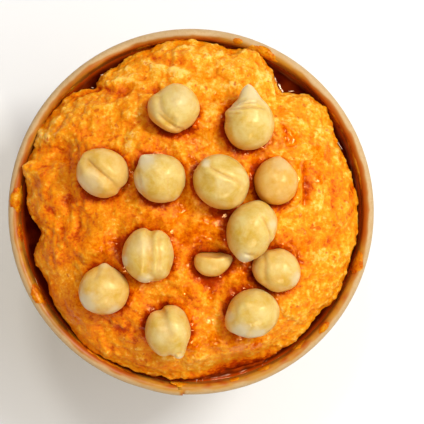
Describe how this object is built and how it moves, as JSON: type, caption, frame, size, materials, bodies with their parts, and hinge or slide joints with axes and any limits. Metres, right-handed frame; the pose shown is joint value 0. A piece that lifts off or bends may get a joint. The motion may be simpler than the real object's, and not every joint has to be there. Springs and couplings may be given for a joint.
{
  "type": "hummus",
  "caption": "Round paper tub heaped with orange red pepper hummus, oil in the gap round the heap, topped with whole cooked chickpeas.",
  "frame": {"origin": "middle of the foot ring, on the table", "axes": "+Z up out of the tub; +Y is up and +X is right in the view from above, with the wall's seam near -Y"},
  "size_m": [0.096, 0.096, 0.0824],
  "materials": {
    "kraft_card": "brown kraft card, matte, with a thin coating inside",
    "hummus": "grainy moist bean paste with red pepper, oily in patches",
    "oil": "clear red-brown paprika oil, liquid gloss",
    "chickpea": "boiled chickpea skin, smooth, damp and slightly translucent"
  },
  "bodies": {
    "root": {"bowl_wall": "kraft_card", "bowl_base": "kraft_card", "hummus": "hummus", "oil": "oil", "chickpea_01": "chickpea", "chickpea_02": "chickpea", "chickpea_03": "chickpea", "chickpea_04": "chickpea", "chickpea_05": "chickpea", "chickpea_06": "chickpea", "chickpea_07": "chickpea", "chickpea_08": "chickpea", "chickpea_09": "chickpea", "chickpea_10": "chickpea", "chickpea_11": "chickpea", "chickpea_12": "chickpea", "chickpea_half": "chickpea"}
  },
  "joints": []
}
